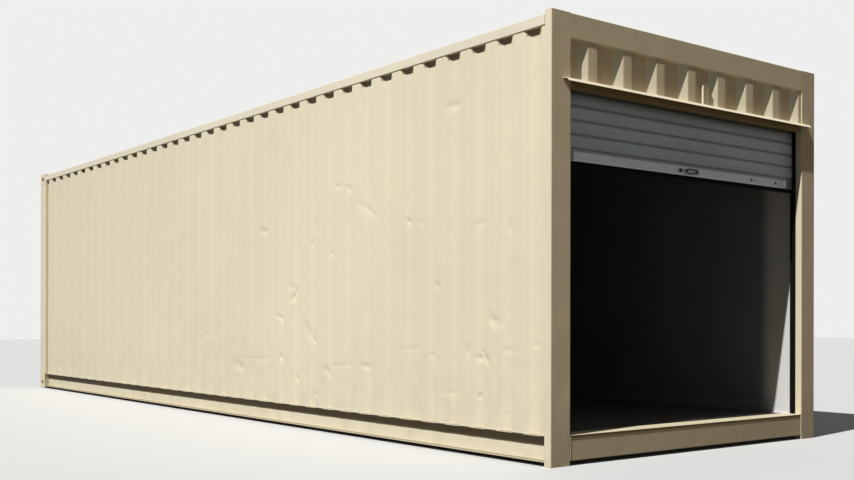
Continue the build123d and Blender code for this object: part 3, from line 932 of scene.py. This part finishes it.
def flush_weld(name, x, sign):
    """A fillet from one end of the header round the post's corner, drawn in at its top."""
    low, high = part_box("front_header")
    y = low.y
    section = [(x, y)]
    for number in range(7):
        angle = math.radians(15 * number)
        section.append((x + sign * post_corner * (1 - math.sin(angle)),
                        y + post_corner * (1 - math.cos(angle))))
    section.append((x - sign * weld_overlap, y + post_corner))
    section.append((x - sign * weld_overlap, y))
    rings = [[(a, b, z) for a, b in section] for z in (low.z + 0.001, high.z - 0.004)]
    rings.append([(x + (a - x) * 0.6, b + 0.0022, high.z - 0.0008) for a, b in section])
    flat_faced(ring_piece(name, rings, "body_paint", frame_finish))


flush_weld("left_header_weld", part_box("front_header")[0].x, -1)
flush_weld("right_header_weld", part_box("front_header")[1].x, 1)


# The bracket on the ledge

def bracket_box():
    """Closed box with rolled edges and a rim round its slightly sunken front."""
    low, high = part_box("header_bracket")
    # From the back to the sunken front: Y, how far in from the outline, and corner radius
    steps = ((high.y, 0.0, 0.002), (low.y + 0.002, 0.0, 0.002), (low.y + 0.0006, 0.0006, 0.002),
             (low.y, 0.002, 0.0012), (low.y, 0.0045, 0.001), (low.y + 0.0008, 0.0055, 0.001))
    rings = []
    for y, inset, radius in steps:
        line = rounded_rectangle((low.x + inset, low.z + inset), (high.x - inset, high.z - inset), radius, 3)
        rings.append([(x, y, z) for x, z in line])
    piece = ring_piece("bracket_box", rings, "body_paint", bracket_finish)
    flat_faced(piece)
    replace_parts(piece, "header_bracket")


bracket_box()


# Weld beads

def bead(name, path, radius, step, finish):
    """A weld bead laid along a path of points, uneven as a hand-laid bead is."""
    points = [Vector(p) for p in path]
    fine = [points[0]]
    for a, b in zip(points, points[1:]):
        count = max(1, math.ceil((b - a).length / step))
        fine += [a.lerp(b, number / count) for number in range(1, count + 1)]
    rings = []
    for number, here in enumerate(fine):
        ahead = fine[min(number + 1, len(fine) - 1)] - fine[max(number - 1, 0)]
        lies_flat = abs(ahead.normalized().z) < 0.8
        side = ahead.cross(Vector((0.3, 0.2, 1.0) if lies_flat else (1, 0.2, 0.3)))
        side.normalize()
        up = ahead.cross(side).normalized()
        swell = radius * (1 + 0.22 * noise.noise(here * 90) + 0.12 * math.sin(number * 2.1))
        if number in (0, len(fine) - 1):
            swell *= 0.5
        rings.append([here + side * swell * math.cos(t) + up * swell * math.sin(t)
                      for t in (math.radians(60 * k) for k in range(6))])
    ring_piece(name, rings, "body_paint", finish)


def wall_foot_bead(side, sign):
    """The weld between the pressed sheet and the bottom rail."""
    line, face, foot, _ = wall_line(side, sign)
    path = [(face - sign * (depth - 0.001), front_plane + along, foot + 0.001) for along, depth in line]
    bead(side + "_wall_foot_weld", path, radius=0.003, step=0.012, finish=weld_shade_finish)


wall_foot_bead("left", -1)
wall_foot_bead("right", 1)
for side, x in (("left", sill_low.x), ("right", sill_high.x)):
    path = [(x, sill_low.y + 0.001, z) for z in levels(sill_low.z + 0.004, sill_high.z - 0.003, 0.02)]
    bead(side + "_sill_weld", path, radius=0.0035, step=0.005, finish=frame_finish)


# Shutter

def slat_line(start, end):
    """Line of the shutter sheet, up from its lower edge: (along, depth)."""
    between = slat_crown * 0.45
    crown = [(0.0, slat_crown), (0.25, between), (0.5, 0.0), (0.75, between), (1.0, slat_crown)]
    width, run, groove_depth = (slat_groove[key] for key in ("width", "run", "depth"))
    flat = slat_pitch - width
    line = []
    for number in range(-1, math.ceil((end - start) / slat_pitch) + 1):
        mouth = start + slat_groove_first + number * slat_pitch
        line += [(mouth + run, groove_depth), (mouth + width - run, groove_depth)]
        line += [(mouth + width + t * flat, depth) for t, depth in crown]
    return cut(line, start, end)


def shutter_curtain():
    """The curtain with rounded folds, in place of its plain solid."""
    low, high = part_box("door_curtain")
    line = rounded(slat_line(low.z, high.z), slat_fold_radius)

    def point(along, depth, level):
        return Vector((level, low.y + depth, along))

    rows = levels(low.x, high.x, curtain_step)
    piece = pressed_sheet("shutter_curtain", line, rows, point, "curtain_paint")
    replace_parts(piece, "door_curtain")


shutter_curtain()


def disc(middle, radius, y, count=16, squash=(1.0, 1.0)):
    """Points round a circle or an oval that faces the front."""
    return [(middle[0] + squash[0] * radius * math.cos(math.tau * k / count), y,
             middle[1] + squash[1] * radius * math.sin(math.tau * k / count)) for k in range(count)]


def pull_handle():
    """Round-rod loop on two stubs, in place of the plain handle."""
    low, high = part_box("door_handle")
    rod = handle_rod
    y = low.y + rod
    path = rounded_rectangle((low.x + rod, low.z + rod), (high.x - rod, high.z - rod), handle_corner, 6)
    rings = []
    for number, (x, z) in enumerate(path):
        ahead = (Vector(path[(number + 1) % len(path)]) - Vector(path[number - 1])).normalized()
        out = Vector((ahead.y, -ahead.x))
        rings.append([(x + out.x * rod * math.cos(t), y + rod * math.sin(t), z + out.y * rod * math.cos(t))
                      for t in (math.tau * k / 10 for k in range(10))])
    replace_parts(ring_piece("pull_handle_loop", rings, "dark_metal", closed_ends=False), "door_handle")
    steps = ((high.y, handle_foot), (high.y - 0.002, handle_foot), (high.y - 0.003, rod), (y, rod))
    for side, x in (("left", low.x + rod), ("right", high.x - rod)):
        rings = [disc((x, (low.z + high.z) / 2), radius, level) for level, radius in steps]
        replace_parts(ring_piece(f"pull_handle_{side}_stub", rings, "dark_metal"), "door_handle")


def lock_barrel():
    """Lock cylinder with a keyway, in place of the plain one."""
    low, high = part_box("door_lock")
    middle = ((low.x + high.x) / 2, (low.z + high.z) / 2)
    outer = (high.x - low.x) / 2
    rings = [disc(middle, radius, y) for y, radius in (
        (high.y, outer), (low.y + 0.006, outer), (low.y + 0.004, outer * 0.92),
        (low.y + 0.004, outer * 0.72), (low.y, outer * 0.68), (low.y, outer * 0.55))]
    rings += [disc(middle, 0.0045, y, squash=(0.25, 1.0)) for y in (low.y + 0.0002, low.y + 0.003)]
    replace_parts(ring_piece("lock_cylinder", rings, "dark_metal"), "door_lock")


def bolt(name, x):
    """A domed head on the front of the bottom bar."""
    y = bar_low.y + bolt_sunk
    middle = (x, (bar_low.z + bar_high.z) / 2)
    dome = ((0.0, 1.0), (0.25, 1.0), (0.5, 0.85), (0.66, 0.5), (0.7, 0.15))
    rings = [disc(middle, bolt_radius * wide, y - bolt_radius * out) for out, wide in dome]
    ring_piece(name, rings, "dark_metal")


def guide_seal(side, sign):
    """Black strip along the back of the post, over the edge of the shutter."""
    inner = min(abs(corner.x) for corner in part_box(f"front_{side}_post"))
    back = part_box(f"front_{side}_post")[1].y
    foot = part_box("threshold_plate")[1].z
    corners = [(0.0, -seal_on_jamb), (0.0, seal_behind), (seal_reach, seal_behind), (seal_reach, seal_gap),
               (seal_thickness, seal_gap), (seal_thickness, -seal_on_jamb)]
    line = [(sign * (inner - across), back + along) for across, along in corners]
    rings = [[(x, y, z) for x, y in line] for z in levels(foot, curtain_top - 0.001, 0.4)]
    ring_piece(side + "_guide_seal", rings, "seal_rubber")


def bottom_seal():
    """Rubber strip under the bar: a thick foot and a lip that hangs forward."""
    low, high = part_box("door_seal")
    deep = high.y - low.y
    tall = high.z - low.z
    # Section in shares of its box: forward from its back, and down from its top
    shape = [(0.0, 0.0), (1.0, 0.0), (1.0, 0.30), (0.62, 0.36), (0.55, 0.60), (0.80, 0.86), (0.98, 0.97),
             (0.80, 1.0), (0.50, 0.90), (0.25, 0.64), (0.22, 0.36), (0.0, 0.30)]
    rings = []
    for x in levels(low.x, high.x, seal_step):
        slack = 0.03 * noise.noise(Vector((x * 3.0, 0.0, 4.0)))
        ring = []
        for forward, down in shape:
            reach = min(1.0, max(0.0, forward + (slack if down > 0.5 else 0.0)))
            ring.append((x, high.y - deep * reach, high.z - tall * down))
        rings.append(ring)
    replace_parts(ring_piece("bottom_seal", rings, "seal_rubber"), "door_seal")


pull_handle()
lock_barrel()
bottom_seal()
guide_seal("left", -1)
guide_seal("right", 1)
for number, x in enumerate(bolt_places, 1):
    bolt(f"bar_bolt_{number}", x)


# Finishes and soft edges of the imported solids

def soften(piece, width):
    """Rounds a solid's edges a little, as folds, welds and paint do."""
    weld = piece.modifiers.new("weld", "WELD")
    weld.merge_threshold = 0.00002
    bevel = piece.modifiers.new("edges", "BEVEL")
    bevel.width = width
    bevel.segments = 2
    bevel.limit_method = "ANGLE"
    bevel.angle_limit = math.radians(25)
    normals = piece.modifiers.new("normals", "WEIGHTED_NORMAL")
    normals.keep_sharp = True


for name, piece in nodes.items():
    piece.data.materials.clear()
    piece.data.materials.append(special_finish.get(name, finishes[slot_of[name]]))
    width = sheet_edge if name in thin_nodes else soft_edge
    soften(piece, post_edge if name in ("front_left_post", "front_right_post") else width)

cut_back_battens()


# Floor
ground = bpy.data.meshes.new("ground")
half = floor_size / 2
corners = [(-half, -half, 0), (half, -half, 0), (half, half, 0), (-half, half, 0)]
ground.from_pydata(corners, [], [(0, 1, 2, 3)])
floor = bpy.data.objects.new("ground", ground)
bpy.context.scene.collection.objects.link(floor)
floor_paint = bpy.data.materials.new("studio_floor")
floor_paint.use_nodes = True
tree = floor_paint.node_tree
shader = tree.nodes["Principled BSDF"]
shader.inputs["Roughness"].default_value = 0.9
seen = add(tree, "LightPath").outputs["Is Camera Ray"]
tree.links.new(blended(tree, seen, floor_bounce, floor_seen), shader.inputs["Base Color"])
ground.materials.append(floor_paint)

# Soft fill from all round, and a pale backdrop for the camera and for reflections
world = bpy.data.worlds.new("studio")
bpy.context.scene.world = world
world.use_nodes = True
tree = world.node_tree
ray = add(tree, "LightPath")
fill = tree.nodes["Background"]
fill.inputs["Color"].default_value = (*fill_colour, 1.0)
fill.inputs["Strength"].default_value = fill_strength
shown = add(tree, "Background", {"Color": (*backdrop, 1.0), "Strength": 1.0}).outputs[0]
seen = add(tree, "Math", {0: ray.outputs["Is Camera Ray"], 1: ray.outputs["Is Glossy Ray"]},
           operation="MAXIMUM")
either = add(tree, "MixShader", {0: seen.outputs[0], 1: fill.outputs[0], 2: shown})
tree.links.new(either.outputs[0], tree.nodes["World Output"].inputs["Surface"])

# Key light
key = bpy.data.lights.new("key", "SUN")
key.energy = key_strength
key.angle = math.radians(key_angle)
key_lamp = bpy.data.objects.new("key", key)
key_lamp.rotation_mode = "QUATERNION"
key_lamp.rotation_quaternion = Vector(key_travel).to_track_quat("-Z", "Y")
bpy.context.scene.collection.objects.link(key_lamp)

# Camera: level, with its sides shifted in place of a tilt
lens = bpy.data.cameras.new("camera")
lens.lens = camera_lens
lens.shift_x, lens.shift_y = camera_shift
lens.clip_start = 0.05
lens.clip_end = 200.0
camera = bpy.data.objects.new("camera", lens)
turn = Matrix.Rotation(-math.radians(camera_heading), 4, "Z")
turn = turn @ Matrix.Rotation(math.radians(90), 4, "X") @ Matrix.Rotation(math.radians(camera_roll), 4, "Z")
camera.matrix_world = Matrix.Translation(camera_place) @ turn
bpy.context.scene.collection.objects.link(camera)
bpy.context.scene.camera = camera

bpy.context.scene.view_settings.view_transform = "Standard"
